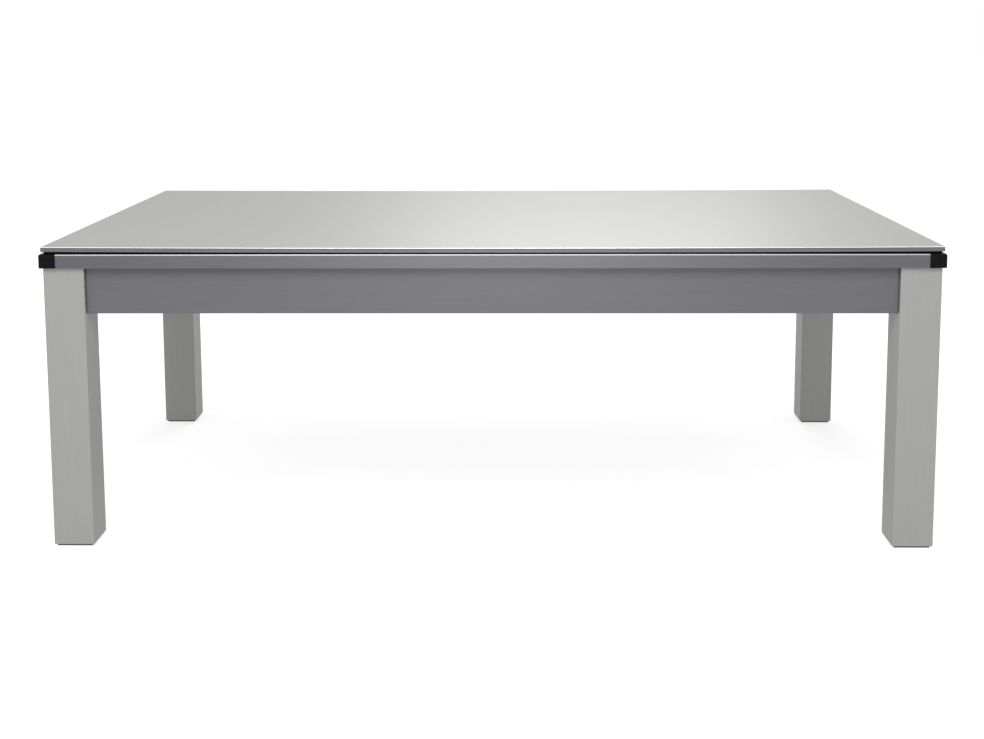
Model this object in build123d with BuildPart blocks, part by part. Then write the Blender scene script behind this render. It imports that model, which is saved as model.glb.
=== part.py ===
from build123d import *

import os
from math import radians, tan

# Pool table for a dining room: slate bed, slim aluminium rails, four square legs and a lift-off
# cover top. Millimetres. Origin on the floor under the middle of the table, +X along its length,
# +Z up. Every "inset" is measured inward from the overall outline.

os.makedirs("parts", exist_ok=True)

# ---- Overall ----
table_length = 2210.0
table_width = 1215.0
table_height = 760.0

# ---- Cover top ----
cover_thickness = 12.0
cover_inset = 5.0
cover_corner_radius = 3.0
cover_arris = 1.0
gasket_height = 6.0
gasket_width = 24.0
gasket_inset = 11.0
batten_width = 60.0
batten_depth = 20.0
batten_count = 3
batten_span = 1320.0
batten_clearance = 4.0

# ---- Rails ----
rail_width = 110.0
rail_face_height = 34.0
rail_wall = 4.0
rail_flange = 60.0
rail_bevel = 2.5
cap_length = 42.0
cap_proud = 1.0
cap_corner_radius = 6.0
cap_bevel = 3.0
cap_wall = 4.0
sight_radius = 5.0
sight_thickness = 1.5
sight_inset = 48.0
sub_rail_corner_gap = 8.0
sub_rail_side_end = 28.0

# ---- Balls, cushions and pockets ----
ball_diameter = 57.15
nose_ratio = 0.635
nose_drop = 6.0
cushion_back_drop = 1.0
cushion_nose_depth = 3.0
cushion_foot = 14.0
cushion_clearance = 0.3
corner_pocket_radius = 54.0
corner_pocket_setback = 15.0
corner_mouth_reach = 82.0
corner_facing_angle = 38.0
corner_opening_half_angle = 60.0
side_pocket_radius = 47.0
side_pocket_setback = 30.0
side_mouth_reach = 64.0
side_facing_angle = 76.0
side_opening_half_angle = 90.0
liner_wall = 4.0
liner_top_drop = 0.5
liner_clearance = 0.5
bag_wall = 3.0
bag_clearance = 0.5
bag_overlap = 14.0
bag_taper = 6.0
bag_bottom_round = 12.0

# ---- Bed ----
slate_thickness = 19.0
slate_count = 3
slate_gap = 5.0
cloth_thickness = 1.0

# ---- Frame ----
beam_width = 40.0
cross_beam_width = 50.0
beam_height = 80.0
beam_wall = 3.0
beam_clearance = 2.0
beam_end_gap = 3.0
corner_plate_thickness = 6.0
corner_plate_lap = 40.0
bracket_width = 50.0
bracket_thickness = 5.0
bracket_flange = 60.0
bracket_screw_drop = 36.0

# ---- Aprons, legs and feet ----
apron_height = 116.0
apron_thickness = 16.0
apron_setback = 12.0
apron_end_gap = 1.0
apron_edge = 1.0
leg_size = 100.0
leg_inset = 9.0
leg_wall = 3.0
leg_edge_radius = 2.0
leg_top_plate_thickness = 12.0
leg_foot_plate_thickness = 10.0
foot_boss_radius = 16.0
foot_boss_height = 12.0
foot_pad_inset = 6.0
foot_pad_thickness = 6.0
foot_pad_edge = 1.0
stem_radius = 8.0
stem_length = 66.0
stem_head_radius = 14.0
stem_head_thickness = 3.0
stem_head_seat = 2.5
running_clearance = 0.05

# ---- Fasteners ----
screw_radius = 3.0
screw_head_radius = 6.0
screw_length = 20.0
screw_recess = 3.0
countersink_angle = 90.0
bolt_radius = 5.0
bolt_head_radius = 9.0
bolt_head_height = 5.0
bolt_flange_radius = 11.0
bolt_flange_thickness = 1.5
leg_bolt_length = 17.0
leg_bolt_spacing = 40.0
rail_bolt_length = 42.0
rail_bolt_beam_room = 7.0
bolt_head_room = 3.0

# ---- Heights worked out from the sizes above ----
rail_top = table_height - cover_thickness - gasket_height
rail_bottom = rail_top - rail_face_height
nose_height = rail_top - nose_drop
cloth_top = nose_height - nose_ratio * ball_diameter
slate_top = cloth_top - cloth_thickness
slate_bottom = slate_top - slate_thickness
beam_bottom = slate_bottom - beam_height
corner_plate_bottom = beam_bottom - corner_plate_thickness
apron_bottom = rail_bottom - apron_height

# ---- Insets worked out from the sizes above ----
rail_inner = cap_proud + rail_flange
apron_outer = leg_inset + apron_setback
apron_inner = apron_outer + apron_thickness
leg_inner = leg_inset + leg_size
slate_edge = apron_inner + slate_gap
corner_pocket_inset = rail_width - corner_pocket_setback
side_pocket_inset = rail_width - side_pocket_setback
beam_outer = corner_pocket_inset + corner_pocket_radius + liner_wall + beam_clearance
beam_inner = beam_outer + beam_width
field_length = table_length - 2 * rail_width
field_width = table_width - 2 * rail_width
sub_rail_corner_end = rail_width + sub_rail_corner_gap

# ---- The four sides and the four corners ----
side_turn = {"front": 0, "right": 90, "back": 180, "left": 270}
half_length = {side: (table_width if side in ("left", "right") else table_length) / 2 for side in side_turn}
reach = {side: (table_length if side in ("left", "right") else table_width) / 2 for side in side_turn}
corner_signs = {"front_left": (-1, -1), "front_right": (1, -1), "back_left": (-1, 1), "back_right": (1, 1)}


def along(side):
    """Direction that runs along a side, with the table's middle on its left."""
    return Vector(1, 0, 0).rotate(Axis.Z, side_turn[side])


def inward(side):
    """Direction from a side towards the table's middle."""
    return Vector(0, 1, 0).rotate(Axis.Z, side_turn[side])


def plan_plane(side, height=0.0):
    """Level plane: x along the side from its middle, y inward from the outline."""
    origin = inward(side) * -reach[side] + Vector(0, 0, height)
    return Plane(origin=origin, x_dir=along(side), z_dir=(0, 0, 1))


def section_plane(side, shift=0.0):
    """Upright plane across a side: x inward from the outline, y up from the floor."""
    origin = inward(side) * -reach[side] + along(side) * shift
    return Plane(origin=origin, x_dir=inward(side), z_dir=along(side))


def corner_point(corner, inset_x, inset_y, height=0.0):
    """Point at the given insets from a corner of the outline."""
    sign_x, sign_y = corner_signs[corner]
    return Vector(sign_x * (table_length / 2 - inset_x), sign_y * (table_width / 2 - inset_y), height)


def pocket_outline(radius_gain):
    """Every pocket's centre and radius, grown by radius_gain."""
    corners = [(corner_point(c, corner_pocket_inset, corner_pocket_inset), corner_pocket_radius + radius_gain)
               for c in corner_signs]
    sides = [(Vector(0, sign * (table_width / 2 - side_pocket_inset)), side_pocket_radius + radius_gain)
             for sign in (-1, 1)]
    return corners + sides


def pocket_circles(radius_gain):
    """Sketch circles at the six pockets."""
    for centre, radius in pocket_outline(radius_gain):
        with Locations(centre):
            Circle(radius)


def cut_pockets(bottom, top):
    """Clear the pocket liners out of the part being built, between two heights."""
    with BuildSketch(Plane.XY.offset(bottom)) as openings:
        pocket_circles(liner_wall + liner_clearance)
    extrude(openings.sketch, amount=top - bottom, mode=Mode.SUBTRACT)


def save(part, name):
    """Label a finished piece and write it as the node of that name."""
    part.label = name
    export_step(part, f"parts/{name}.step")


# ---- Fastener places ----
# A screw or bolt plane looks out of its head: the shank runs along the plane's -Z.
slate_length = (table_length - 2 * slate_edge) / slate_count
slate_centres = [(i - (slate_count - 1) / 2) * slate_length for i in range(slate_count)]
seams = [centre + slate_length / 2 for centre in slate_centres[:-1]]
beam_line = table_width / 2 - (beam_outer + beam_inner) / 2
slate_screw_reach = slate_length / 2 - cross_beam_width
slate_screw_points = [(centre + end * slate_screw_reach, side * beam_line)
                      for centre in slate_centres for end in (-1, 1) for side in (-1, 1)]
slate_screws = [Plane.XY.offset(slate_top - screw_recess).move(Location((x, y, 0)))
                for x, y in slate_screw_points]

# Each side's sub-rails as (middle, half length) along the side.
long_run_half = (table_length / 2 - sub_rail_corner_end - sub_rail_side_end) / 2
long_run_middle = sub_rail_side_end + long_run_half
short_run_half = table_width / 2 - sub_rail_corner_end
sub_rail_runs = {side: ([(0, short_run_half)] if side in ("left", "right")
                        else [(-long_run_middle, long_run_half), (long_run_middle, long_run_half)])
                 for side in side_turn}

rail_bolt_inset = (slate_edge + rail_inner) / 2
rail_bolt_end_margin = beam_inner + bolt_flange_radius + rail_bolt_beam_room - sub_rail_corner_end
rail_bolts = []
bracket_places = []
for side, runs in sub_rail_runs.items():
    for middle, run_half in runs:
        bolt_reach = run_half - rail_bolt_end_margin
        for step in (-1, 0, 1):
            seat = plan_plane(side, slate_bottom).from_local_coords(
                Vector(middle + step * bolt_reach, rail_bolt_inset, 0))
            rail_bolts.append(Plane(origin=seat, z_dir=(0, 0, -1)))
        bracket_places += [(side, middle - bolt_reach / 2), (side, middle + bolt_reach / 2)]

leg_bolt_middle = (apron_inner + leg_inner - leg_wall) / 2
leg_bolts = [Plane(origin=corner_point(corner, leg_bolt_middle + sx * leg_bolt_spacing / 2,
                                       leg_bolt_middle + sy * leg_bolt_spacing / 2, beam_bottom),
                   z_dir=(0, 0, 1))
             for corner in corner_signs for sx in (-1, 1) for sy in (-1, 1)]

bracket_screw_height = slate_bottom - bracket_screw_drop
apron_screws = []
beam_side_screws = []
for side, shift in bracket_places:
    for step in (-1, 1):
        base = along(side) * (shift + step * bracket_width / 4) + Vector(0, 0, bracket_screw_height)
        apron_seat = base + inward(side) * (apron_inner + bracket_thickness - reach[side])
        beam_seat = base + inward(side) * (beam_outer - bracket_thickness - reach[side])
        apron_screws.append(Plane(origin=apron_seat, z_dir=inward(side)))
        beam_side_screws.append(Plane(origin=beam_seat, z_dir=inward(side) * -1))

beam_middle_inset = (beam_outer + beam_inner) / 2
end_beam_inset = beam_outer + cross_beam_width / 2
plate_screw_insets = [(slate_edge + screw_head_radius * 2, beam_middle_inset),
                      (beam_outer, beam_middle_inset),
                      (end_beam_inset, beam_inner + corner_plate_lap / 2)]
plate_screws = [Plane(origin=corner_point(corner, inset_x, inset_y, corner_plate_bottom), z_dir=(0, 0, -1))
                for corner in corner_signs for inset_x, inset_y in plate_screw_insets]


# ---- Cover top: one panel, its rubber gasket and the battens under it ----
with BuildPart() as cover_top:
    with BuildSketch(Plane.XY.offset(table_height - cover_thickness)):
        RectangleRounded(table_length - 2 * cover_inset, table_width - 2 * cover_inset, cover_corner_radius)
    extrude(amount=cover_thickness)
    chamfer(cover_top.faces().sort_by(Axis.Z)[-1].edges(), length=cover_arris)
    chamfer(cover_top.faces().sort_by(Axis.Z)[0].edges(), length=cover_arris / 2)
save(cover_top.part, "cover_top")

with BuildPart() as cover_gasket:
    with BuildSketch(Plane.XY.offset(rail_top)):
        Rectangle(table_length - 2 * gasket_inset, table_width - 2 * gasket_inset)
        Rectangle(table_length - 2 * (gasket_inset + gasket_width),
                  table_width - 2 * (gasket_inset + gasket_width), mode=Mode.SUBTRACT)
    extrude(amount=gasket_height)
save(cover_gasket.part, "cover_gasket")

with BuildPart() as cover_battens:
    with BuildSketch(Plane.XY.offset(table_height - cover_thickness - batten_depth)):
        with GridLocations(batten_span / (batten_count - 1), 0, batten_count, 1):
            Rectangle(batten_width, field_width - 2 * batten_clearance)
    extrude(amount=batten_depth)
    chamfer(cover_battens.faces().group_by(Axis.Z)[0].edges(), length=cover_arris)
save(cover_battens.part, "cover_battens")


# ---- Rails: aluminium channel with a bevelled top arris, between the corner caps ----
sight_steps = 8
sight_pitch = field_length / sight_steps
long_sights = [step * sight_pitch for step in (-3, -2, -1, 1, 2, 3)]
short_sights = [step * sight_pitch for step in (-1, 0, 1)]
sight_offsets = {side: (short_sights if side in ("left", "right") else long_sights) for side in side_turn}


def cap_inner_square(corner, clearance=0.0):
    """The part of a corner cap that fills between the ends of two rail flanges."""
    size = rail_inner - cap_length + cap_proud + 2 * clearance
    middle = (rail_inner + cap_length - cap_proud) / 2
    with Locations(corner_point(corner, middle, middle)):
        Rectangle(size, size)


for side in side_turn:
    with BuildPart() as rail:
        with BuildSketch(section_plane(side)):
            with BuildLine():
                Polyline((cap_proud, rail_bottom),
                         (apron_inner, rail_bottom),
                         (apron_inner, rail_bottom + rail_wall),
                         (cap_proud + rail_wall, rail_bottom + rail_wall),
                         (cap_proud + rail_wall, rail_top - rail_wall),
                         (rail_inner, rail_top - rail_wall),
                         (rail_inner, rail_top),
                         (cap_proud + rail_bevel, rail_top),
                         (cap_proud, rail_top - rail_bevel),
                         close=True)
            make_face()
        extrude(amount=half_length[side] - cap_length, both=True)
        cut_pockets(rail_bottom, rail_top)
        with BuildSketch(Plane.XY.offset(rail_bottom)):
            for corner in corner_signs:
                cap_inner_square(corner)
        extrude(amount=rail_face_height, mode=Mode.SUBTRACT)
        sight_seats = [plan_plane(side, rail_top).from_local_coords(Vector(shift, sight_inset, 0))
                       for shift in sight_offsets[side]]
        with Locations(*sight_seats):
            Hole(radius=sight_radius, depth=sight_thickness)
    save(rail.part, f"rail_{side}")

with BuildPart() as rail_sights:
    for side in side_turn:
        with BuildSketch(plan_plane(side, rail_top - sight_thickness)):
            with Locations(*[(shift, sight_inset) for shift in sight_offsets[side]]):
                Circle(sight_radius)
    extrude(amount=sight_thickness)
save(rail_sights.part, "rail_sights")


# ---- Corner caps: moulded, open below, with a bevel that meets the rails' bevel ----
for corner, (sign_x, sign_y) in corner_signs.items():
    with BuildPart() as cap:
        with BuildSketch(Plane.XY.offset(rail_bottom)) as cap_sketch:
            with Locations(corner_point(corner, cap_length / 2, cap_length / 2)):
                Rectangle(cap_length, cap_length)
            outermost = cap_sketch.vertices().sort_by_distance(corner_point(corner, 0, 0, rail_bottom))[0]
            fillet(outermost, cap_corner_radius)
            cap_inner_square(corner)
            with Locations(corner_point(corner, corner_pocket_inset, corner_pocket_inset)):
                Circle(corner_pocket_radius + liner_wall + liner_clearance, mode=Mode.SUBTRACT)
        extrude(amount=rail_face_height)
        top_edges = cap.faces().sort_by(Axis.Z)[-1].edges()
        outer_edges = top_edges.filter_by(
            lambda edge: edge.center().X * sign_x > table_length / 2 - cap_corner_radius
            or edge.center().Y * sign_y > table_width / 2 - cap_corner_radius)
        chamfer(outer_edges, length=cap_bevel)
        with BuildSketch(Plane.XY.offset(rail_bottom)):
            with Locations(corner_point(corner, cap_length / 2, cap_length / 2)):
                Rectangle(cap_length - 2 * cap_wall, cap_length - 2 * cap_wall)
        extrude(amount=rail_face_height - cap_wall, mode=Mode.SUBTRACT)
    save(cap.part, f"corner_cap_{corner}")


# ---- Sub-rails: six lengths of hardwood under the rail flanges, bolted down through the slate ----
with BuildPart() as sub_rails:
    for side, runs in sub_rail_runs.items():
        for middle, run_half in runs:
            with BuildSketch(section_plane(side, middle)):
                with BuildLine():
                    Polyline((cap_proud + rail_wall, rail_bottom + rail_wall),
                             (slate_edge, rail_bottom + rail_wall),
                             (slate_edge, cloth_top),
                             (rail_inner, cloth_top),
                             (rail_inner, rail_top - rail_wall),
                             (cap_proud + rail_wall, rail_top - rail_wall),
                             close=True)
                make_face()
            extrude(amount=run_half, both=True)
    cut_pockets(cloth_top, rail_top)
    with Locations(*rail_bolts):
        Hole(radius=bolt_radius, depth=rail_bolt_length)
save(sub_rails.part, "sub_rails")


# ---- Cushions: rubber nosed section with its cloth, cut back at the pocket mouths ----
def facing_run(depth, angle):
    """How far a pocket facing runs along the rail over a depth."""
    return depth / tan(radians(angle))


cushion_depth = rail_width - rail_inner
corner_back_run = facing_run(cushion_depth, corner_facing_angle)
side_back_run = facing_run(cushion_depth, side_facing_angle)
corner_tip = rail_width + corner_mouth_reach


# Each cushion's side, then its ends along the side: nose tips first, back corners after.
cushions = {}
for side in ("front", "back"):
    outer_tip = table_length / 2 - corner_tip
    outer_back = outer_tip + corner_back_run
    inner_back = side_mouth_reach - side_back_run
    low_x, high_x = ("left", "right") if side == "front" else ("right", "left")
    cushions[f"cushion_{side}_{low_x}"] = (side, -outer_tip, -side_mouth_reach, -outer_back, -inner_back)
    cushions[f"cushion_{side}_{high_x}"] = (side, side_mouth_reach, outer_tip, inner_back, outer_back)
for side in ("left", "right"):
    outer_tip = table_width / 2 - corner_tip
    outer_back = outer_tip + corner_back_run
    cushions[f"cushion_{side}"] = (side, -outer_tip, outer_tip, -outer_back, outer_back)

for name, (side, low_tip, high_tip, low_back, high_back) in cushions.items():
    with BuildPart() as cushion:
        with BuildSketch(section_plane(side, (low_back + high_back) / 2)):
            with BuildLine():
                Polyline((rail_inner, cloth_top + cushion_clearance),
                         (rail_inner + cushion_foot, cloth_top + cushion_clearance),
                         (rail_width - cushion_nose_depth, nose_height - cushion_nose_depth),
                         (rail_width, nose_height),
                         (rail_width - cushion_nose_depth, nose_height + cushion_nose_depth),
                         (rail_inner, rail_top - cushion_back_drop),
                         close=True)
            make_face()
        extrude(amount=(high_back - low_back) / 2, both=True)
        with BuildSketch(plan_plane(side, cloth_top)):
            with BuildLine():
                Polyline((low_tip, rail_width), (high_tip, rail_width),
                         (high_back, rail_inner), (low_back, rail_inner), close=True)
            make_face()
        extrude(amount=rail_top - cloth_top, mode=Mode.INTERSECT)
        cut_pockets(cloth_top, rail_top)
    save(cushion.part, name)


# ---- Slates and bed cloth: notched at the pockets, screwed to the beams ----
def bed_notches():
    """Sketch cuts of the six pockets through the bed, open to its edges."""
    pocket_circles(liner_wall + liner_clearance)
    for corner in corner_signs:
        with Locations(corner_point(corner, corner_pocket_inset / 2, corner_pocket_inset / 2)):
            Rectangle(corner_pocket_inset, corner_pocket_inset)
    side_notch = side_pocket_radius + liner_wall + liner_clearance
    for sign in (-1, 1):
        with Locations((0, sign * (table_width / 2 - side_pocket_inset / 2))):
            Rectangle(2 * side_notch, side_pocket_inset)


slate_names = ["slate_left", "slate_middle", "slate_right"]
slate_width = table_width - 2 * slate_edge
for slate_name, slate_centre in zip(slate_names, slate_centres):
    with BuildPart() as slate:
        with BuildSketch(Plane.XY.offset(slate_bottom)):
            with Locations((slate_centre, 0)):
                Rectangle(slate_length, slate_width)
        extrude(amount=slate_thickness)
        with BuildSketch(Plane.XY.offset(slate_bottom)):
            bed_notches()
        extrude(amount=slate_thickness, mode=Mode.SUBTRACT)
        with Locations(*slate_screws):
            CounterSinkHole(radius=screw_radius, counter_sink_radius=screw_head_radius,
                            counter_sink_angle=countersink_angle)
        with Locations(*rail_bolts):
            Hole(radius=bolt_radius)
    save(slate.part, slate_name)

with BuildPart() as bed_cloth:
    with BuildSketch(Plane.XY.offset(slate_top)):
        Rectangle(table_length - 2 * slate_edge, slate_width)
    extrude(amount=cloth_thickness)
    with BuildSketch(Plane.XY.offset(slate_top)):
        bed_notches()
    extrude(amount=cloth_thickness, mode=Mode.SUBTRACT)
    with Locations(*rail_bolts):
        Hole(radius=bolt_radius)
save(bed_cloth.part, "bed_cloth")


# ---- Pocket liners and bags ----
pockets = {}
for corner, (sign_x, sign_y) in corner_signs.items():
    centre = corner_point(corner, corner_pocket_inset, corner_pocket_inset)
    pockets[corner] = (centre, corner_pocket_radius, Vector(-sign_x, -sign_y).normalized(),
                       corner_opening_half_angle)
for name, sign in (("side_front", -1), ("side_back", 1)):
    centre = Vector(0, sign * (table_width / 2 - side_pocket_inset))
    pockets[name] = (centre, side_pocket_radius, Vector(0, -sign), side_opening_half_angle)

bag_bottom = beam_bottom + bolt_head_height + bolt_flange_thickness + bolt_head_room
liner_collar_height = cloth_top - cushion_clearance - slate_bottom

for name, (centre, radius, mouth, half_angle) in pockets.items():
    outer_radius = radius + liner_wall
    wedge_side = 3 * outer_radius
    with BuildPart() as liner:
        with BuildSketch(Plane.XY.offset(slate_bottom)):
            with Locations(centre):
                Circle(outer_radius)
                Circle(radius, mode=Mode.SUBTRACT)
        extrude(amount=liner_collar_height)
        with BuildSketch(Plane.XY.offset(slate_bottom)):
            with Locations(centre):
                Circle(outer_radius)
                Circle(radius, mode=Mode.SUBTRACT)
            with BuildLine():
                Polyline(centre, centre + mouth.rotate(Axis.Z, half_angle) * wedge_side,
                         centre + mouth * 2 * wedge_side,
                         centre + mouth.rotate(Axis.Z, -half_angle) * wedge_side, close=True)
            make_face(mode=Mode.SUBTRACT)
        extrude(amount=rail_top - liner_top_drop - slate_bottom)
        fillet(liner.faces().sort_by(Axis.Z)[-1].edges().filter_by(GeomType.CIRCLE), liner_wall / 3)
    save(liner.part, f"pocket_liner_{name}")

    with BuildPart() as bag:
        with BuildSketch(Plane.XY.offset(slate_bottom + bag_overlap)):
            with Locations(centre):
                Circle(radius - bag_clearance)
        extrude(amount=bag_bottom - slate_bottom - bag_overlap, taper=bag_taper)
        fillet(bag.faces().sort_by(Axis.Z)[0].edges(), bag_bottom_round)
        offset(amount=-bag_wall, openings=bag.faces().sort_by(Axis.Z)[-1])
    save(bag.part, f"pocket_bag_{name}")


# ---- Beams: steel tubes under the slates ----
beam_height_middle = beam_bottom + beam_height / 2


def tube_section(width):
    """Hollow rectangular section of a beam."""
    Rectangle(width, beam_height)
    Rectangle(width - 2 * beam_wall, beam_height - 2 * beam_wall, mode=Mode.SUBTRACT)


long_beam_half = table_length / 2 - slate_edge - beam_end_gap
with BuildPart() as long_beams:
    with BuildSketch(Plane.YZ):
        with Locations((-beam_line, beam_height_middle), (beam_line, beam_height_middle)):
            tube_section(beam_width)
    extrude(amount=long_beam_half, both=True)
    with Locations(*slate_screws, *beam_side_screws, *plate_screws):
        Hole(radius=screw_radius, depth=screw_length)
save(long_beams.part, "long_beams")

end_beam_line = table_length / 2 - end_beam_inset
cross_beam_places = [-end_beam_line, *seams, 0, end_beam_line]
with BuildPart() as cross_beams:
    with BuildSketch(Plane.XZ):
        with Locations(*[(x, beam_height_middle) for x in cross_beam_places]):
            tube_section(cross_beam_width)
    extrude(amount=table_width / 2 - beam_inner, both=True)
    with Locations(*beam_side_screws, *plate_screws):
        Hole(radius=screw_radius, depth=screw_length)
save(cross_beams.part, "cross_beams")

with BuildPart() as apron_brackets:
    for side, shift in bracket_places:
        with BuildSketch(section_plane(side, shift)):
            with BuildLine():
                Polyline((apron_inner, slate_bottom - bracket_flange),
                         (apron_inner, slate_bottom),
                         (beam_outer, slate_bottom),
                         (beam_outer, slate_bottom - bracket_flange),
                         (beam_outer - bracket_thickness, slate_bottom - bracket_flange),
                         (beam_outer - bracket_thickness, slate_bottom - bracket_thickness),
                         (apron_inner + bracket_thickness, slate_bottom - bracket_thickness),
                         (apron_inner + bracket_thickness, slate_bottom - bracket_flange),
                         close=True)
            make_face()
        extrude(amount=bracket_width / 2, both=True)
    with Locations(*apron_screws, *beam_side_screws):
        CounterSinkHole(radius=screw_radius, counter_sink_radius=screw_head_radius,
                        depth=screw_length, counter_sink_angle=countersink_angle)
save(apron_brackets.part, "apron_brackets")

plate_start = apron_inner + beam_clearance
plate_end_x = beam_outer + cross_beam_width
plate_end_y = beam_inner + corner_plate_lap
with BuildPart() as corner_plates:
    with BuildSketch(Plane.XY.offset(corner_plate_bottom)):
        for corner in corner_signs:
            with Locations(corner_point(corner, (plate_start + plate_end_x) / 2, (plate_start + plate_end_y) / 2)):
                Rectangle(plate_end_x - plate_start, plate_end_y - plate_start)
    extrude(amount=corner_plate_thickness)
    with Locations(*leg_bolts):
        Hole(radius=bolt_radius)
    with Locations(*plate_screws):
        CounterSinkHole(radius=screw_radius, counter_sink_radius=screw_head_radius,
                        counter_sink_angle=countersink_angle)
save(corner_plates.part, "corner_plates")


# ---- Aprons: laminated boards between the legs, hollowed behind the side pockets ----
for side in side_turn:
    apron_half = half_length[side] - leg_inner - apron_end_gap
    with BuildPart() as apron:
        with BuildSketch(section_plane(side)):
            with Locations(((apron_outer + apron_inner) / 2, (apron_bottom + rail_bottom) / 2)):
                Rectangle(apron_thickness, apron_height)
        extrude(amount=apron_half, both=True)
        outer_face = apron.faces().sort_by(Axis(origin=(0, 0, 0), direction=inward(side)))[0]
        chamfer(outer_face.edges(), length=apron_edge)
        cut_pockets(apron_bottom, rail_bottom)
        with Locations(*apron_screws):
            Hole(radius=screw_radius, depth=screw_length)
    save(apron.part, f"apron_{side}")


# ---- Legs: square tubes, cut away inside at the top for the pocket and the corner plate ----
leg_height = rail_bottom - foot_pad_thickness
leg_middle = leg_inset + leg_size / 2
leg_bore = leg_size - 2 * leg_wall
for corner in corner_signs:
    with BuildPart() as leg:
        with BuildSketch(Plane.XY.offset(foot_pad_thickness)):
            with Locations(corner_point(corner, leg_middle, leg_middle)):
                RectangleRounded(leg_size, leg_size, leg_edge_radius)
                Rectangle(leg_bore, leg_bore, mode=Mode.SUBTRACT)
        extrude(amount=leg_height)
        with BuildSketch(Plane.XY.offset(corner_plate_bottom)):
            with Locations(corner_point(corner, apron_inner + leg_size / 2, apron_inner + leg_size / 2)):
                Rectangle(leg_size, leg_size)
        extrude(amount=rail_bottom - corner_plate_bottom, mode=Mode.SUBTRACT)
    save(leg.part, f"leg_{corner}")

leg_centres = [corner_point(corner, leg_middle, leg_middle) for corner in corner_signs]

with BuildPart() as leg_top_plates:
    with BuildSketch(Plane.XY.offset(corner_plate_bottom - leg_top_plate_thickness)):
        with Locations(*leg_centres):
            Rectangle(leg_bore, leg_bore)
    extrude(amount=leg_top_plate_thickness)
    with Locations(*leg_bolts):
        Hole(radius=bolt_radius, depth=corner_plate_thickness + leg_top_plate_thickness)
save(leg_top_plates.part, "leg_top_plates")

with BuildPart() as leg_foot_plates:
    with BuildSketch(Plane.XY.offset(foot_pad_thickness)):
        with Locations(*leg_centres):
            Rectangle(leg_bore, leg_bore)
    extrude(amount=leg_foot_plate_thickness)
    with BuildSketch(Plane.XY.offset(foot_pad_thickness + leg_foot_plate_thickness)):
        with Locations(*leg_centres):
            Circle(foot_boss_radius)
    extrude(amount=foot_boss_height)
    with BuildSketch(Plane.XY.offset(foot_pad_thickness)):
        with Locations(*leg_centres):
            Circle(stem_radius + running_clearance)
    extrude(amount=leg_foot_plate_thickness + foot_boss_height, mode=Mode.SUBTRACT)
save(leg_foot_plates.part, "leg_foot_plates")


# ---- Feet: a square pad that rises and falls on a screwed stem ----
for corner, centre in zip(corner_signs, leg_centres):
    with BuildPart() as pad:
        with BuildSketch():
            with Locations(centre):
                Rectangle(leg_size - 2 * foot_pad_inset, leg_size - 2 * foot_pad_inset)
        extrude(amount=foot_pad_thickness)
        chamfer(pad.faces().sort_by(Axis.Z)[0].edges(), length=foot_pad_edge)
        with BuildSketch(Plane.XY.offset(stem_head_seat)):
            with Locations(centre):
                Circle(stem_head_radius + running_clearance)
        extrude(amount=foot_pad_thickness - stem_head_seat, mode=Mode.SUBTRACT)
    save(pad.part, f"foot_pad_{corner}")

    with BuildPart() as stem:
        with BuildSketch(Plane.XY.offset(stem_head_seat)):
            with Locations(centre):
                Circle(stem_head_radius)
        extrude(amount=stem_head_thickness)
        with BuildSketch(Plane.XY.offset(stem_head_seat + stem_head_thickness)):
            with Locations(centre):
                Circle(stem_radius)
        extrude(amount=stem_length)
        chamfer(stem.faces().sort_by(Axis.Z)[-1].edges(), length=stem_radius / 8)
    save(stem.part, f"foot_stem_{corner}")


# ---- Fasteners: each group is one node of separate solids ----
screw_cone = screw_head_radius - screw_radius
with BuildPart() as countersunk_screws:
    with Locations(*slate_screws, *apron_screws, *beam_side_screws, *plate_screws):
        Cylinder(screw_radius, screw_length, align=(Align.CENTER, Align.CENTER, Align.MAX))
        Cone(screw_radius, screw_head_radius, screw_cone, align=(Align.CENTER, Align.CENTER, Align.MAX))
save(countersunk_screws.part, "countersunk_screws")


def flanged_bolts(places, length):
    """Hexagon bolts with a flange: the head stands up from each place, the shank goes down."""
    for place in places:
        with BuildSketch(place) as flange:
            Circle(bolt_flange_radius)
        extrude(flange.sketch, amount=bolt_flange_thickness)
        with BuildSketch(place.offset(bolt_flange_thickness)) as head:
            RegularPolygon(bolt_head_radius, side_count=6)
        extrude(head.sketch, amount=bolt_head_height)
        with BuildSketch(place) as shank:
            Circle(bolt_radius)
        extrude(shank.sketch, amount=-length)


with BuildPart() as leg_bolt_group:
    flanged_bolts(leg_bolts, leg_bolt_length)
save(leg_bolt_group.part, "leg_bolts")

with BuildPart() as rail_bolt_group:
    flanged_bolts(rail_bolts, rail_bolt_length)
save(rail_bolt_group.part, "rail_bolts")
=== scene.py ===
import math
import random

import bmesh
import bpy
from mathutils import Matrix, Vector


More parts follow.
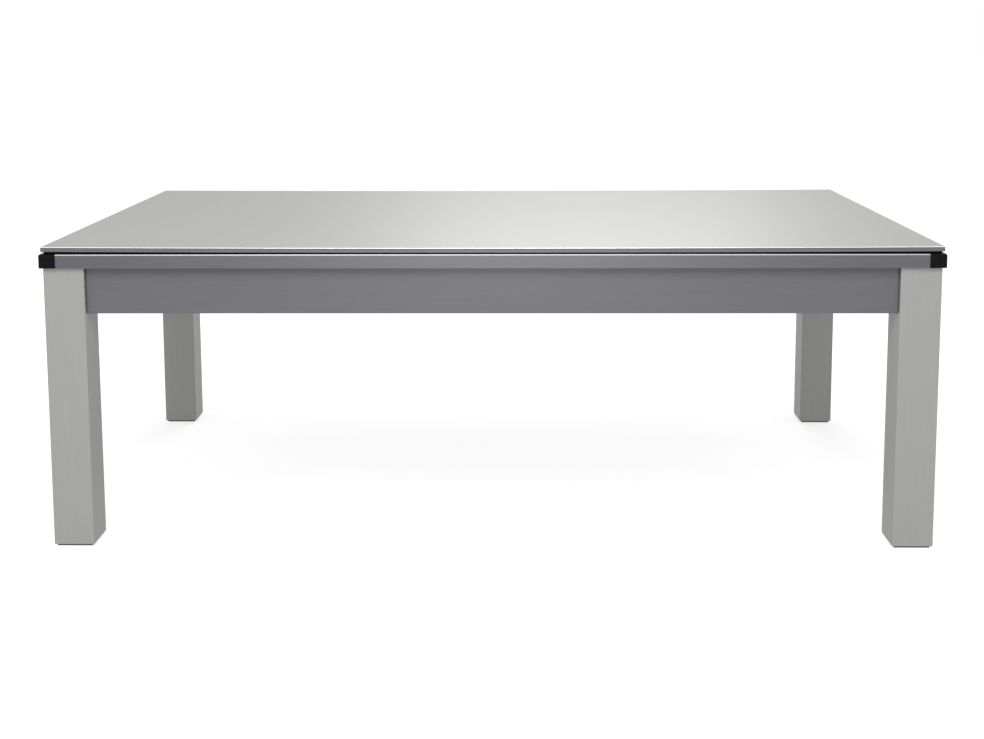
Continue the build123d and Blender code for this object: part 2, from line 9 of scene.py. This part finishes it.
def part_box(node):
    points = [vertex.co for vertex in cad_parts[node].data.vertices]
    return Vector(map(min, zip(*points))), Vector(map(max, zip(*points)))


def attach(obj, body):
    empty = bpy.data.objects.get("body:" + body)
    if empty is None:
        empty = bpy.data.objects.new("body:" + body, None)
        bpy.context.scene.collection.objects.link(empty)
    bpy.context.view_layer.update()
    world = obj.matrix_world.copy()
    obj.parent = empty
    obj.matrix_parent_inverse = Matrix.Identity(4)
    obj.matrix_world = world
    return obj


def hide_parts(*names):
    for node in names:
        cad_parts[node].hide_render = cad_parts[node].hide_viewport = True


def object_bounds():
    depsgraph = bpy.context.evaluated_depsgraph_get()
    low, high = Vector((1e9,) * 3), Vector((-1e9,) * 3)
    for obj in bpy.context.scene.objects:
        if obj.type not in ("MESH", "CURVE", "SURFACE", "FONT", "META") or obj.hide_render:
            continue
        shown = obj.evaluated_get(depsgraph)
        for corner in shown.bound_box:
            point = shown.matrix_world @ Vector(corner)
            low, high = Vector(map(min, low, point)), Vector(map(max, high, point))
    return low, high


# A pool table in its dining form: looks around the fixed frame. Metres, origin on the floor under the
# middle of the table, +X along its length, front towards -Y.

MM = 0.001

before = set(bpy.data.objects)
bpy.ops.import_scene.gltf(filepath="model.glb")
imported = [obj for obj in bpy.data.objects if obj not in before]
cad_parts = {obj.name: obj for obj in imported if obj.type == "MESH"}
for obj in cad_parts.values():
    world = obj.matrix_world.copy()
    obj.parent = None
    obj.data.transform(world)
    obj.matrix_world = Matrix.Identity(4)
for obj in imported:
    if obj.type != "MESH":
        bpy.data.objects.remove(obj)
cad_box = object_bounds()
table_low, table_high = cad_box
table_middle = (table_low + table_high) / 2


# ---- Camera: made first, level with a standing eye, a little right of the middle ----
CAMERA_PLACE = (0.0593, -3.8588, 1.2748)
CAMERA_TILT = math.radians(6.85)
CAMERA_TURN = math.radians(0.96)
CAMERA_ROLL = math.radians(-0.2)
CAMERA_LENS_MM = 49.66
CAMERA_SENSOR_MM = 36
CAMERA_SHIFT = -0.176

camera_data = bpy.data.cameras.new("camera")
camera_data.sensor_width = CAMERA_SENSOR_MM
camera_data.lens = CAMERA_LENS_MM
camera_data.shift_y = CAMERA_SHIFT
camera = bpy.data.objects.new("camera", camera_data)
bpy.context.scene.collection.objects.link(camera)
camera.matrix_world = (Matrix.Translation(CAMERA_PLACE) @ Matrix.Rotation(CAMERA_TURN, 4, "Z")
                       @ Matrix.Rotation(math.pi / 2 - CAMERA_TILT, 4, "X")
                       @ Matrix.Rotation(CAMERA_ROLL, 4, "Z"))
bpy.context.scene.camera = camera


# ---- Materials ----
BEVEL_SLOPE = math.cos(math.radians(45))
BEVEL_SLOPE_SPREAD = 0.2
YARN_SPACING_MM = 1.6
WAVE_SCALE_UNIT = 20  # the wave texture turns this many radians over one unit at scale 1
LEATHER_CELL_MM = 2.2
FLOOR_GLOW = 0.73


def linear(hex_colour):
    """An sRGB hex colour as linear RGBA."""
    channels = [int(hex_colour[i:i + 2], 16) / 255 for i in (1, 3, 5)]
    return [c / 12.92 if c <= 0.04045 else ((c + 0.055) / 1.055) ** 2.4 for c in channels] + [1.0]


def add(material, kind, inputs=None, **settings):
    """Adds a node with its settings. Each input takes a value, or a link from another node's output."""
    made = material.node_tree.nodes.new(kind)
    for name, value in settings.items():
        setattr(made, name, value)
    for name, value in (inputs or {}).items():
        if isinstance(value, bpy.types.NodeSocket):
            material.node_tree.links.new(value, made.inputs[name])
        else:
            made.inputs[name].default_value = value
    return made


def new_material(name, **shader):
    """A named material with one Principled shader; the keywords are its sockets."""
    material = bpy.data.materials.new(name)
    material.use_nodes = True
    bsdf = material.node_tree.nodes["Principled BSDF"]
    for socket, value in shader.items():
        bsdf.inputs[socket.replace("_", " ")].default_value = value
    return material, bsdf


def grain(material, size_mm, stretch=(1, 1, 1), detail=3.0, roughness=0.55, distortion=0.0):
    """Noise whose features are size_mm across, drawn out along the axes whose stretch is over 1."""
    place = add(material, "ShaderNodeTexCoord").outputs["Object"]
    scale = tuple(1 / s for s in stretch)
    mapped = add(material, "ShaderNodeMapping", {"Vector": place, "Scale": scale})
    return add(material, "ShaderNodeTexNoise", {
        "Vector": mapped.outputs["Vector"], "Scale": 1 / (size_mm * MM), "Detail": detail,
        "Roughness": roughness, "Distortion": distortion}).outputs["Fac"]


def tint(material, bsdf, factor, low, high, spread=(0.3, 0.7)):
    """Base colour that runs from low to high as factor crosses spread."""
    ramp = add(material, "ShaderNodeValToRGB", {"Fac": factor})
    for stop, place, colour in zip(ramp.color_ramp.elements, spread, (low, high)):
        stop.position = place
        stop.color = linear(colour)
    material.node_tree.links.new(ramp.outputs["Color"], bsdf.inputs["Base Color"])
    return ramp.outputs["Color"]


def polish(material, bsdf, factor, low, high):
    """Roughness that runs from low to high with factor."""
    mapped = add(material, "ShaderNodeMapRange", {"Value": factor, "To Min": low, "To Max": high})
    material.node_tree.links.new(mapped.outputs["Result"], bsdf.inputs["Roughness"])


def relief(material, bsdf, factor, depth_mm, strength=1.0):
    """Bump of depth_mm from factor."""
    bump = add(material, "ShaderNodeBump", {"Height": factor, "Strength": strength, "Distance": depth_mm * MM})
    material.node_tree.links.new(bump.outputs["Normal"], bsdf.inputs["Normal"])


def satin_laminate():
    """High-pressure laminate with a satin press plate: even pale grey, very faint cloud, soft wide gloss."""
    material, bsdf = new_material("satin_laminate", IOR=1.5, Specular_IOR_Level=0.5)
    tint(material, bsdf, grain(material, 7, detail=5), "#71726D", "#767772", (0.35, 0.65))
    polish(material, bsdf, grain(material, 3), 0.38, 0.46)
    relief(material, bsdf, grain(material, 1.6), 0.02, 0.25)
    return material


def laminate_edge():
    """Matching laminate edge band: the same grey, a shade deeper, with fine scraping along its length."""
    material, bsdf = new_material("laminate_edge", IOR=1.5)
    tint(material, bsdf, grain(material, 4, (30, 30, 1)), "#454548", "#4C4C4F")
    polish(material, bsdf, grain(material, 2), 0.32, 0.42)
    return material


def arris_painted_highlight():
    """Polished arris where the laminate and its band meet; its pale colour is a painted highlight for the bright
    surroundings it reflects.
    """
    material, bsdf = new_material("arris_painted_highlight", IOR=1.5)
    tint(material, bsdf, grain(material, 20), "#B9B9B5", "#C6C6C2")
    polish(material, bsdf, grain(material, 2), 0.12, 0.2)
    return material


def joint_painted_shade():
    """Dark line in the shallow groove between the laminate and its band: painted shade."""
    material, bsdf = new_material("joint_painted_shade", IOR=1.5)
    tint(material, bsdf, grain(material, 6), "#2C2C2F", "#343437")
    polish(material, bsdf, grain(material, 2), 0.4, 0.5)
    return material


def sponge_rubber_painted_shade():
    """Extruded black rubber, matt, with a fine bloom; made near-black and almost without gloss, partly as painted
    shade for the gap under the cover.
    """
    material, bsdf = new_material("gasket_rubber_painted_shade", IOR=1.52, Specular_IOR_Level=0.05)
    tint(material, bsdf, grain(material, 5), "#060607", "#0B0B0C")
    polish(material, bsdf, grain(material, 1.5), 0.55, 0.7)
    relief(material, bsdf, grain(material, 0.8), 0.05, 0.4)
    return material


def fibreboard():
    """Sawn and sanded fibreboard: tan, flecked with darker fibres."""
    material, bsdf = new_material("fibreboard", IOR=1.5)
    tint(material, bsdf, grain(material, 1.5, (1, 4, 1)), "#A88A66", "#BC9F7A")
    polish(material, bsdf, grain(material, 2), 0.7, 0.85)
    relief(material, bsdf, grain(material, 1.0), 0.08, 0.5)
    return material


def anodised_aluminium(name, stretch):
    """Extruded aluminium, anodised graphite and satin, with fine die lines along its length.

    The faces that slope between level and upright, the bevel, get a pale colour: a painted highlight for the light
    they catch from above."""
    material, bsdf = new_material(name, Metallic=1.0)
    lines = grain(material, 0.7, stretch, detail=4)
    graphite = tint(material, bsdf, lines, "#5A5A5E", "#626266")
    # Painted highlight: the bevel faces are picked by how steeply they face upward and mixed to a pale grey.
    facing = add(material, "ShaderNodeTexCoord").outputs["Normal"]
    upward = add(material, "ShaderNodeSeparateXYZ", {"Vector": facing}).outputs["Z"]
    painted_highlight_bevel = add(material, "ShaderNodeMath", {0: upward, 1: BEVEL_SLOPE, 2: BEVEL_SLOPE_SPREAD}, operation="COMPARE")
    colour = add(material, "ShaderNodeMix", {0: painted_highlight_bevel.outputs["Value"], 6: graphite, 7: linear("#B4B4B8")},
                 data_type="RGBA")
    material.node_tree.links.new(colour.outputs[2], bsdf.inputs["Base Color"])
    polish(material, bsdf, lines, 0.36, 0.46)
    relief(material, bsdf, lines, 0.015, 0.35)
    return material


def moulded_abs():
    """Moulded black ABS with a fine spark-eroded grain: deep black, slightly blue, soft highlights."""
    material, bsdf = new_material("moulded_abs", IOR=1.54, Specular_IOR_Level=0.05)
    tint(material, bsdf, grain(material, 12), "#08070C", "#0C0B10")
    polish(material, bsdf, grain(material, 0.9), 0.34, 0.46)
    relief(material, bsdf, grain(material, 0.7), 0.03, 0.4)
    return material


def silver_powder_coat():
    """Silver-grey metallic powder coat over brushed tube: the brush lines read through as faint upright streaks."""
    material, bsdf = new_material("silver_powder_coat", Metallic=0.25, IOR=1.5)
    streaks = grain(material, 2.2, (1, 1, 60), detail=4)
    tint(material, bsdf, streaks, "#797977", "#7E7E7C")
    polish(material, bsdf, grain(material, 1.2), 0.42, 0.52)
    relief(material, bsdf, grain(material, 0.9), 0.02, 0.35)
    return material


def apron_laminate():
    """Graphite laminate with a fine level grain: dark grey, satin."""
    material, bsdf = new_material("apron_laminate", IOR=1.5)
    lines = grain(material, 1.6, (80, 80, 1), detail=4)
    tint(material, bsdf, lines, "#444348", "#49484D")
    polish(material, bsdf, lines, 0.34, 0.42)
    relief(material, bsdf, lines, 0.01, 0.3)
    return material


def worsted_cloth():
    """Worsted billiard cloth: crossed yarns about 0.5 mm apart, drawn at 1.6 mm so that they show.

    It has no nap and only a faint sheen."""
    material, bsdf = new_material("worsted_cloth", IOR=1.45, Sheen_Weight=0.25, Sheen_Roughness=0.4)
    yarn_scale = math.tau / WAVE_SCALE_UNIT / (YARN_SPACING_MM * MM)
    place = add(material, "ShaderNodeTexCoord").outputs["Object"]
    warp = add(material, "ShaderNodeTexWave", {"Vector": place, "Scale": yarn_scale}, bands_direction="X")
    weft = add(material, "ShaderNodeTexWave", {"Vector": place, "Scale": yarn_scale}, bands_direction="Y")
    weave = add(material, "ShaderNodeMath", {0: warp.outputs["Fac"], 1: weft.outputs["Fac"]}, operation="MULTIPLY")
    tint(material, bsdf, grain(material, 7), "#57616B", "#626C76")
    polish(material, bsdf, grain(material, 4), 0.8, 0.92)
    relief(material, bsdf, weave.outputs["Value"], 0.12, 0.5)
    return material


def moulded_rubber():
    """Moulded pocket rubber: black, satin, with flow marks."""
    material, bsdf = new_material("moulded_rubber", IOR=1.52)
    tint(material, bsdf, grain(material, 14, distortion=0.6), "#1A1A1B", "#262627")
    polish(material, bsdf, grain(material, 3), 0.42, 0.56)
    relief(material, bsdf, grain(material, 1.2), 0.05, 0.4)
    return material


def bag_leather():
    """Vegetable-tanned black leather: pebbled grain cells, with a tone that varies at random."""
    material, bsdf = new_material("bag_leather", IOR=1.5)
    place = add(material, "ShaderNodeTexCoord").outputs["Object"]
    cell_scale = 1 / (LEATHER_CELL_MM * MM)
    cells = add(material, "ShaderNodeTexVoronoi", {"Vector": place, "Scale": cell_scale}).outputs["Distance"]
    tint(material, bsdf, grain(material, 9), "#221D1A", "#312A26")
    polish(material, bsdf, grain(material, 2), 0.45, 0.62)
    relief(material, bsdf, cells, 0.18, 0.6)
    return material


def honed_slate():
    """Ground slate: blue-grey, chalky, with cleft clouds and a few pale specks."""
    material, bsdf = new_material("honed_slate", IOR=1.55)
    tint(material, bsdf, grain(material, 60, detail=6, roughness=0.65, distortion=0.8), "#4A4E54", "#62666C")
    polish(material, bsdf, grain(material, 5), 0.6, 0.8)
    relief(material, bsdf, grain(material, 2.5), 0.08, 0.5)
    return material


def planed_beech():
    """Planed beech: warm straw with darker growth lines along the rail and short flecks."""
    material, bsdf = new_material("planed_beech", IOR=1.5)
    tint(material, bsdf, grain(material, 5, (1, 1, 0.6), detail=5, distortion=1.2), "#B58A5E", "#CBA477")
    polish(material, bsdf, grain(material, 3), 0.5, 0.65)
    relief(material, bsdf, grain(material, 1.2), 0.05, 0.4)
    return material


def pearl_inlay():
    """Pearl acetate: creamy white with a shifting cloud, polished."""
    material, bsdf = new_material("pearl_inlay", IOR=1.5, Coat_Weight=0.6, Coat_Roughness=0.08)
    tint(material, bsdf, grain(material, 3, distortion=1.5), "#D8D6CC", "#F2F1EA")
    polish(material, bsdf, grain(material, 3), 0.15, 0.25)
    return material


def black_enamel():
    """Black stove enamel on steel: satin with orange peel."""
    material, bsdf = new_material("black_enamel", IOR=1.5)
    tint(material, bsdf, grain(material, 25), "#2A2A2C", "#353537")
    polish(material, bsdf, grain(material, 4), 0.35, 0.48)
    relief(material, bsdf, grain(material, 2.0), 0.04, 0.4)
    return material


def zinc_plate():
    """Bright zinc plate: pale metal with a milky passivated bloom."""
    material, bsdf = new_material("zinc_plate", Metallic=1.0)
    tint(material, bsdf, grain(material, 2), "#B9BBBE", "#D2D3D4")
    polish(material, bsdf, grain(material, 1.2), 0.22, 0.38)
    return material


def foot_rubber():
    """Hard rubber foot: charcoal, dusty."""
    material, bsdf = new_material("foot_rubber", IOR=1.52)
    tint(material, bsdf, grain(material, 6), "#2C2C2A", "#3A3A37")
    polish(material, bsdf, grain(material, 2), 0.6, 0.78)
    relief(material, bsdf, grain(material, 1.5), 0.06, 0.4)
    return material


def studio_floor():
    """Seamless white sweep: matt, with barely visible mottling."""
    material, bsdf = new_material("studio_floor", Specular_IOR_Level=0.1, Emission_Color=linear("#FFFFFF"),
                                  Emission_Strength=FLOOR_GLOW)
    tint(material, bsdf, grain(material, 900), "#929291", "#959594")
    polish(material, bsdf, grain(material, 300), 0.9, 1.0)
    return material


# Cover finishes: the arris is painted pale as a highlight and the joint painted dark as shade.
COVER, EDGE, ARRIS_PAINTED_HIGHLIGHT, JOINT_PAINTED_SHADE = satin_laminate(), laminate_edge(), arris_painted_highlight(), joint_painted_shade()
RAIL_LONG = anodised_aluminium("anodised_aluminium_long", (200, 1, 1))
RAIL_SHORT = anodised_aluminium("anodised_aluminium_short", (1, 200, 1))
CLOTH, LEATHER, ENAMEL, ZINC = worsted_cloth(), bag_leather(), black_enamel(), zinc_plate()
# The gasket's near-black is partly real black rubber and partly painted shade for the gap under the cover.
GASKET_PAINTED_SHADE = sponge_rubber_painted_shade()


# ---- Finishes of the frame's own pieces ----
finish_of = {
    "rail_front": RAIL_LONG, "rail_back": RAIL_LONG, "rail_left": RAIL_SHORT, "rail_right": RAIL_SHORT,
    "corner_cap": moulded_abs(), "apron_": apron_laminate(), "leg_front": silver_powder_coat(),
    "leg_foot_plates": ENAMEL, "leg_top_plates": ENAMEL, "apron_brackets": ENAMEL, "corner_plates": ENAMEL,
    "long_beams": ENAMEL, "cross_beams": ENAMEL, "slate_": honed_slate(), "sub_rails": planed_beech(),
    "rail_sights": pearl_inlay(), "pocket_liner": moulded_rubber(), "foot_pad": foot_rubber(),
    "foot_stem": ZINC, "leg_bolts": ZINC, "rail_bolts": ZINC, "countersunk_screws": ZINC,
    "cover_battens": fibreboard(),
}
finish_of["leg_back"] = finish_of["leg_front"]


def finish_for(node):
    """The finish whose key is the longest start of the node's name."""
    keys = [key for key in finish_of if node.startswith(key)]
    return finish_of[max(keys, key=len)] if keys else None


for node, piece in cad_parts.items():
    surface = finish_for(node)
    if surface:
        piece.data.materials.clear()
        piece.data.materials.append(surface)


# ---- Mesh helpers ----
def new_piece(name, vertices, faces, materials, face_slots=None):
    """A mesh object from vertices and faces, with the material slot of each face."""
    mesh = bpy.data.meshes.new(name)
    mesh.from_pydata(vertices, [], faces)
    for material in materials:
        mesh.materials.append(material)
    if face_slots:
        mesh.polygons.foreach_set("material_index", face_slots)
    mesh.update()
    piece = bpy.data.objects.new(name, mesh)
    bpy.context.scene.collection.objects.link(piece)
    return piece


def tidy_normals(piece):
    """Makes the faces of a closed mesh look outward."""
    work = bmesh.new()
    work.from_mesh(piece.data)
    bmesh.ops.recalc_face_normals(work, faces=work.faces)
    work.to_mesh(piece.data)
    work.free()


LONG_STEPS = 48
CORNER_STEPS = 5
LEAST_CORNER = 0.2 * MM


def outline(low, high, inset, radius):
    """Rounded rectangle, from the left end round the front to the right end, then the back mirrored to it."""
    radius = max(radius - inset, LEAST_CORNER)
    left, right = low.x + inset + radius, high.x - inset - radius
    front = low.y + inset + radius
    half = []
    for step in range(CORNER_STEPS + 1):
        angle = math.pi + math.pi / 2 * step / CORNER_STEPS
        half.append((left + radius * math.cos(angle), front + radius * math.sin(angle)))
    for step in range(1, LONG_STEPS):
        half.append((left + (right - left) * step / LONG_STEPS, front - radius))
    for step in range(CORNER_STEPS + 1):
        angle = 1.5 * math.pi + math.pi / 2 * step / CORNER_STEPS
        half.append((right + radius * math.cos(angle), front + radius * math.sin(angle)))
    middle = (low.y + high.y) / 2
    return half + [(x, 2 * middle - y) for x, y in reversed(half)]


COVER_SAG = 3.0 * MM


def sag(x):
    """How far the cover's long edges dip at x: nothing at the ends and the most in the middle."""
    reach = table_high.x
    return -COVER_SAG * (1 - (x / reach) ** 2)


# ---- Cover panel: the laminate face, its arris with a painted highlight, the joint with painted shade and the edge band ----
COVER_CORNER = 3 * MM
ARRIS_WIDTH = 1.6 * MM
ARRIS_SHOULDER = 0.5 * MM
ARRIS_SHOULDER_DROP = 0.35 * MM
ARRIS_DEPTH = 1.3 * MM
JOINT_INSET = 0.35 * MM
JOINT_TOP = 1.6 * MM
JOINT_BOTTOM = 2.6 * MM
BAND_TOP = 2.9 * MM
BAND_CHAMFER = 0.8 * MM
BAND_CHAMFER_HEIGHT = 0.9 * MM


def build_cover():
    low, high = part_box("cover_top")
    thick = high.z - low.z
    # The arris rings are painted pale as a highlight and the joint rings painted dark as shade.
    # Inset from the outline, height above the underside, finish of the faces down to the next ring.
    rings = [(ARRIS_WIDTH, thick, ARRIS_PAINTED_HIGHLIGHT), (ARRIS_SHOULDER, thick - ARRIS_SHOULDER_DROP, ARRIS_PAINTED_HIGHLIGHT),
             (0.0, thick - ARRIS_DEPTH, JOINT_PAINTED_SHADE), (JOINT_INSET, thick - JOINT_TOP, JOINT_PAINTED_SHADE),
             (JOINT_INSET, thick - JOINT_BOTTOM, EDGE), (0.0, thick - BAND_TOP, EDGE),
             (0.0, BAND_CHAMFER_HEIGHT, EDGE), (BAND_CHAMFER, 0.0, EDGE)]
    slots = [COVER, ARRIS_PAINTED_HIGHLIGHT, JOINT_PAINTED_SHADE, EDGE]
    vertices, faces, face_slots = [], [], []
    for inset, height, _ in rings:
        vertices += [(x, y, low.z + height + sag(x)) for x, y in outline(low, high, inset, COVER_CORNER)]
    count = len(vertices) // len(rings)
    for ring, (_, _, material) in enumerate(rings[:-1]):
        for i in range(count):
            j = (i + 1) % count
            faces.append((ring * count + i, (ring + 1) * count + i, (ring + 1) * count + j, ring * count + j))
            face_slots.append(slots.index(material))
    last = (len(rings) - 1) * count
    for base, flip, slot in ((0, False, slots.index(COVER)), (last, True, slots.index(EDGE))):
        for i in range(count // 2 - 1):
            quad = (base + i, base + i + 1, base + count - 2 - i, base + count - 1 - i)
            faces.append(tuple(reversed(quad)) if flip else quad)
            face_slots.append(slot)
    cover = new_piece("cover_panel", vertices, faces, slots, face_slots)
    tidy_normals(cover)
    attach(cover, "cover")
    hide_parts("cover_top")
    return cover


build_cover()


# ---- Gasket: a soft ribbed strip, squeezed thinner where the cover dips ----
GASKET_WIDTH = 24 * MM
GASKET_LIP = 0.8 * MM
GASKET_GROOVE = 0.6 * MM
GASKET_CORNER = 1 * MM


def build_gasket():
    low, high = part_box("cover_gasket")
    height = high.z - low.z
    inner_lip = GASKET_WIDTH - GASKET_LIP
    # Inset from the outline, and share of the strip's height.
    profile = [(GASKET_LIP, 0.0), (0.0, 0.2), (GASKET_GROOVE, 0.4), (GASKET_GROOVE, 0.6), (0.0, 0.8),
               (GASKET_LIP, 1.0), (inner_lip, 1.0), (GASKET_WIDTH, 0.8), (GASKET_WIDTH, 0.2), (inner_lip, 0.0)]
    vertices, faces = [], []
    for inset, level in profile:
        for x, y in outline(low, high, inset, GASKET_CORNER):
            vertices.append((x, y, low.z + (height + sag(x)) * level))
    count = len(vertices) // len(profile)
    for ring in range(len(profile)):
        after = (ring + 1) % len(profile)
        for i in range(count):
            j = (i + 1) % count
            faces.append((ring * count + i, ring * count + j, after * count + j, after * count + i))
    gasket = new_piece("cover_gasket_strip", vertices, faces, [GASKET_PAINTED_SHADE])
    tidy_normals(gasket)
    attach(gasket, "cover")
    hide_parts("cover_gasket")


build_gasket()


# ---- Bed cloth: stretched over the slates and cut round the pockets ----
WELD_DISTANCE = 0.01 * MM
TOP_FACE_DEPTH = 0.1 * MM
FACING_UP = 0.9


def copy_mesh(node, name, material):
    """A new object with a copy of a frame node's mesh, in one finish."""
    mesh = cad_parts[node].data.copy()
    mesh.name = name
    mesh.materials.clear()
    mesh.materials.append(material)
    piece = bpy.data.objects.new(name, mesh)
    bpy.context.scene.collection.objects.link(piece)
    return piece


def build_bed_cloth():
    cloth = copy_mesh("bed_cloth", "bed_cloth_sheet", CLOTH)
    work = bmesh.new()
    work.from_mesh(cloth.data)
    bmesh.ops.remove_doubles(work, verts=work.verts, dist=WELD_DISTANCE)
    top = max(v.co.z for v in work.verts)
    area = sum(f.calc_area() for f in work.faces
               if f.normal.z > FACING_UP and f.calc_center_median().z > top - TOP_FACE_DEPTH)
    work.to_mesh(cloth.data)
    work.free()
    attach(cloth, "table")
    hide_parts("bed_cloth")


build_bed_cloth()


# ---- Cushions: cloth pulled tight over rubber, from a small pressure simulation ----
VOXEL = 4.5 * MM
SMOOTH_SHARE = 0.5
SMOOTH_PASSES = 4
SWELL_CAP = 1.2 * MM
SWELL_PRESSURE = 2
SIMULATED_FRAMES = 14


def make_active(piece):
    for other in bpy.context.selected_objects:
        other.select_set(False)
    piece.select_set(True)
    bpy.context.view_layer.objects.active = piece


def apply_modifiers(piece):
    """Turns what the modifiers make into the piece's own mesh."""
    graph = bpy.context.evaluated_depsgraph_get()
    made = bpy.data.meshes.new_from_object(piece.evaluated_get(graph))
    piece.modifiers.clear()
    piece.data = made


def build_cushion(node):
    cushion = copy_mesh(node, node + "_padded", CLOTH)
    remesh = cushion.modifiers.new("remesh", "REMESH")
    remesh.mode = "VOXEL"
    remesh.voxel_size = VOXEL
    smooth = cushion.modifiers.new("smooth", "SMOOTH")
    smooth.factor = SMOOTH_SHARE
    smooth.iterations = SMOOTH_PASSES
    apply_modifiers(cushion)
    still = [v.co.copy() for v in cushion.data.vertices]
    cloth = cushion.modifiers.new("cloth", "CLOTH")
    cloth.settings.use_pressure = True
    cloth.settings.uniform_pressure_force = SWELL_PRESSURE
    cloth.settings.effector_weights.gravity = 0
    cloth.point_cache.frame_end = SIMULATED_FRAMES
    for step in range(1, SIMULATED_FRAMES + 1):
        bpy.context.scene.frame_set(step)
    apply_modifiers(cushion)
    bpy.context.scene.frame_set(1)
    for vertex, rest in zip(cushion.data.vertices, still):
        move = vertex.co - rest
        if move.length > SWELL_CAP:
            vertex.co = rest + move * (SWELL_CAP / move.length)
    low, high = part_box(node)
    for vertex in cushion.data.vertices:
        vertex.co = Vector(max(l, min(h, c)) for l, h, c in zip(low, high, vertex.co))
    for polygon in cushion.data.polygons:
        polygon.use_smooth = True
    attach(cushion, "table")
    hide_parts(node)


for node in sorted(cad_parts):
    if node.startswith("cushion_"):
        build_cushion(node)


# ---- Pocket bags: leather cups with soft upright folds below a straight collar ----
BAG_POINTS = 48
BAG_LEVELS = 14
BAG_WALL = 2.4 * MM
BAG_RIM_ROOM = 0.4 * MM
BAG_TAPER = math.radians(6)
BAG_BOTTOM_ROUND = 14 * MM
BAG_COLLAR = 16 * MM
FOLD_GROWTH = 25 * MM
FOLD_COUNTS = (5, 8, 13)
FOLD_SHALLOW = 0.4
FOLD_DEEP = 0.9
LEVEL_CROWDING = 1.3
BAG_SEED = 7


def build_bag(node, draw):
    low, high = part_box(node)
    centre = (low + high) / 2
    top_radius = (high.x - low.x) / 2 - BAG_RIM_ROOM
    taper = math.tan(BAG_TAPER)
    depth = high.z - low.z
    folds = [(count, draw.uniform(0, math.tau), draw.uniform(FOLD_SHALLOW, FOLD_DEEP) * MM)
             for count in FOLD_COUNTS]

    def cup_radius(down):
        straight = top_radius - down * taper
        rounding = BAG_BOTTOM_ROUND
        left = depth - down
        if left < rounding:
            straight -= rounding - math.sqrt(max(rounding ** 2 - (rounding - left) ** 2, 0))
        return straight

    vertices, faces = [], []
    for level in range(BAG_LEVELS + 1):
        down = depth * (1 - (1 - level / BAG_LEVELS) ** LEVEL_CROWDING)
        for point in range(BAG_POINTS):
            angle = math.tau * point / BAG_POINTS
            slack = min(1.0, max(0.0, (down - BAG_COLLAR) / FOLD_GROWTH))
            crease = sum(size * (1 + math.cos(count * angle + phase)) / 2 for count, phase, size in folds)
            radius = cup_radius(down) - slack * crease
            vertices.append((centre.x + radius * math.cos(angle), centre.y + radius * math.sin(angle),
                             high.z - down))
    for level in range(BAG_LEVELS):
        for point in range(BAG_POINTS):
            after = (point + 1) % BAG_POINTS
            base, under = level * BAG_POINTS, (level + 1) * BAG_POINTS
            faces.append((base + point, under + point, under + after, base + after))
    vertices.append((centre.x, centre.y, low.z))
    last = BAG_LEVELS * BAG_POINTS
    for point in range(BAG_POINTS):
        faces.append((last + point, len(vertices) - 1, last + (point + 1) % BAG_POINTS))
    bag = new_piece(node + "_leather", vertices, faces, [LEATHER])
    tidy_normals(bag)
    solid = bag.modifiers.new("wall", "SOLIDIFY")
    solid.thickness = BAG_WALL
    solid.offset = -1
    apply_modifiers(bag)
    for polygon in bag.data.polygons:
        polygon.use_smooth = True
    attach(bag, "table")
    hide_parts(node)


draw = random.Random(BAG_SEED)
for node in sorted(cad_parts):
    if node.startswith("pocket_bag_"):
        build_bag(node, draw)


# ---- Studio: a pale floor and soft light ----
FLOOR_REACH = 60.0
FLOOR_CELLS = 8
FLOOR_DROP = 0.5 * MM


def build_floor():
    work = bmesh.new()
    bmesh.ops.create_grid(work, x_segments=FLOOR_CELLS, y_segments=FLOOR_CELLS, size=FLOOR_REACH)
    mesh = bpy.data.meshes.new("floor")
    work.to_mesh(mesh)
    work.free()
    floor = bpy.data.objects.new("floor", mesh)
    bpy.context.scene.collection.objects.link(floor)
    floor.location.z = table_low.z - FLOOR_DROP
    mesh.materials.append(studio_floor())


build_floor()


def soft_light(name, place, size, power):
    """A large square lamp that looks at the middle of the table."""
    data = bpy.data.lights.new(name, "AREA")
    data.shape = "SQUARE"
    data.size = size
    data.energy = power
    lamp = bpy.data.objects.new(name, data)
    bpy.context.scene.collection.objects.link(lamp)
    lamp.location = place
    lamp.visible_camera = False
    lamp.rotation_mode = "QUATERNION"
    lamp.rotation_quaternion = (table_middle - Vector(place)).to_track_quat("-Z", "Y")


KEY_POWER, LOW_FRONT_POWER, BACK_POWER, LOW_BACK_POWER = 258, 40, 120, 1.0
soft_light("key_light", (-0.3, -3.6, 3.9), 2.3, KEY_POWER)
soft_light("low_front_light", (0.0, -5.7, 0.6), 1.2, LOW_FRONT_POWER)
soft_light("back_light", (0.5, 4.5, 4.0), 2.5, BACK_POWER)
soft_light("low_back_light", (0.75, 4.6, 1.5), 1.6, LOW_BACK_POWER)

world = bpy.data.worlds.new("studio")
bpy.context.scene.world = world
world.use_nodes = True
world.node_tree.nodes["Background"].inputs["Color"].default_value = linear("#FFFFFF")
world.node_tree.nodes["Background"].inputs["Strength"].default_value = 1.0

scene = bpy.context.scene
scene.view_settings.view_transform = "Standard"
